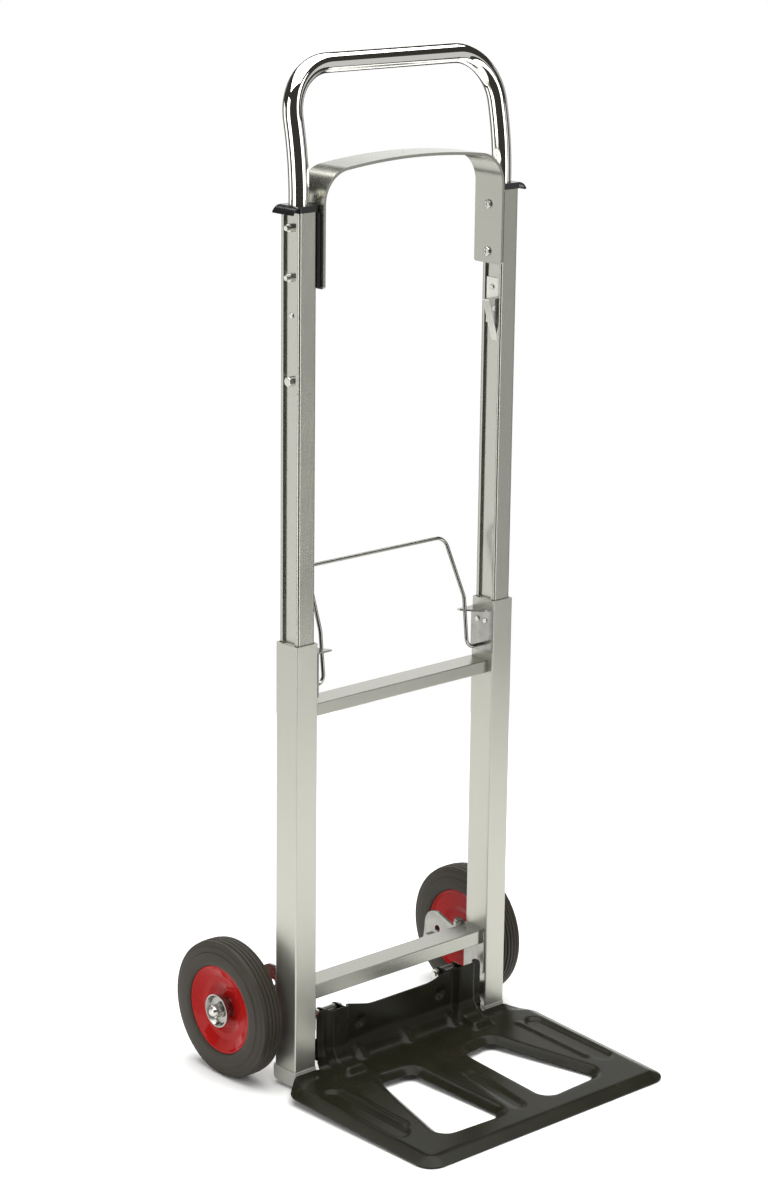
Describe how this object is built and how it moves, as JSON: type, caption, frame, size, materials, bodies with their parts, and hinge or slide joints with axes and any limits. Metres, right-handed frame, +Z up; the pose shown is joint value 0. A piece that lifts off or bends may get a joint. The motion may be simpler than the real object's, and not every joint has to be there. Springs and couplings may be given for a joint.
{
  "type": "folding hand truck",
  "caption": "Folding aluminium hand truck with telescopic uprights, chromed handle, wire bail, fold-up toe plate and fold-in wheels",
  "frame": {"origin": "bottom centre of the open truck's box, on the floor", "axes": "+Z up along the uprights, -Y towards the load side, +X along the axle line"},
  "size_m": [0.3964, 0.3916, 1.0738],
  "materials": {
    "satin_aluminium": "satin anodised extrusion",
    "grey_plastic": "fine matt",
    "white_nylon": "matt",
    "zinc_plate": "bright zinc plating",
    "black_plastic": "glossy",
    "chrome": "polished chrome plating",
    "black_steel": "semi-gloss baked enamel",
    "red_paint": "gloss enamel",
    "tyre_rubber": "satin rubber"
  },
  "bodies": {
    "frame": {"lower_tube_right": "satin_aluminium", "lower_tube_left": "satin_aluminium", "cross_bar_upper": "satin_aluminium", "cross_bar_lower": "satin_aluminium", "cross_bar_screws": "zinc_plate", "foot_plug_right": "grey_plastic", "foot_plug_left": "grey_plastic", "guide_pads_right": "white_nylon", "guide_pads_left": "white_nylon", "bail_bracket_right": "zinc_plate", "bail_bracket_left": "zinc_plate", "plate_rivets": "zinc_plate", "wheel_hinge_plate_right": "zinc_plate", "wheel_hinge_plate_left": "zinc_plate", "wheel_hinge_pin_right": "zinc_plate", "wheel_hinge_pin_left": "zinc_plate", "toe_pivot_pins": "zinc_plate", "toe_pivot_bushes": "zinc_plate"},
    "upper_section": {"mid_tube_right": "satin_aluminium", "mid_tube_left": "satin_aluminium", "glide_shoe_right": "white_nylon", "glide_shoe_left": "white_nylon", "top_cap_right": "black_plastic", "top_cap_left": "black_plastic", "handle": "chrome", "grab_strap": "satin_aluminium", "strap_spacer_right": "black_plastic", "strap_spacer_left": "black_plastic", "strap_screws": "zinc_plate", "strap_nuts": "zinc_plate", "stop_catch_right": "zinc_plate", "stop_catch_left": "zinc_plate", "catch_rivets": "zinc_plate", "travel_stops": "zinc_plate"},
    "bail": {"bail_wire": "chrome"},
    "toe": {"toe_plate": "black_steel", "cam_spacers": "zinc_plate", "cam_bolts": "zinc_plate", "cam_nuts": "zinc_plate"},
    "bracket_right": {"wheel_bracket_right": "zinc_plate", "axle_bolt_right": "zinc_plate", "axle_washer_right": "zinc_plate", "axle_nut_right": "zinc_plate"},
    "bracket_left": {"wheel_bracket_left": "zinc_plate", "axle_bolt_left": "zinc_plate", "axle_washer_left": "zinc_plate", "axle_nut_left": "zinc_plate"},
    "wheel_right": {"hub_sleeve_right": "zinc_plate", "hub_disc_outer_right": "red_paint", "hub_disc_inner_right": "red_paint", "tyre_right": "tyre_rubber"},
    "wheel_left": {"hub_sleeve_left": "zinc_plate", "hub_disc_outer_left": "red_paint", "hub_disc_inner_left": "red_paint", "tyre_left": "tyre_rubber"}
  },
  "joints": [
    {"name": "handle_slide", "type": "slide", "parent": "frame", "child": "upper_section", "axis": [0, 0, 1], "range_m": [-0.262, 0]},
    {"name": "bail_swing", "type": "hinge", "parent": "frame", "child": "bail", "pos_m": [0, 0.0538, 0.4355], "axis": [1, 0, 0], "range_deg": [0, 30]},
    {"name": "toe_fold", "type": "hinge", "parent": "frame", "child": "toe", "pos_m": [0, 0.0538, 0.036], "axis": [-1, 0, 0], "range_deg": [0, 90]},
    {"name": "wheel_fold_right", "type": "hinge", "parent": "frame", "child": "bracket_right", "pos_m": [0.1195, 0.0783, 0.095], "axis": [0, 0, 1], "range_deg": [0, 90]},
    {"name": "wheel_fold_left", "type": "hinge", "parent": "frame", "child": "bracket_left", "pos_m": [-0.1195, 0.0783, 0.095], "axis": [0, 0, -1], "range_deg": [0, 90]},
    {"name": "wheel_spin_right", "type": "hinge", "parent": "bracket_right", "child": "wheel_right", "pos_m": [0.173, 0.1208, 0.075], "axis": [1, 0, 0], "continuous": true},
    {"name": "wheel_spin_left", "type": "hinge", "parent": "bracket_left", "child": "wheel_left", "pos_m": [-0.173, 0.1208, 0.075], "axis": [1, 0, 0], "continuous": true}
  ],
  "couplings": [
    {"joint": "wheel_fold_right", "follows": "toe_fold", "ratio": 1},
    {"joint": "wheel_fold_left", "follows": "toe_fold", "ratio": 1}
  ]
}
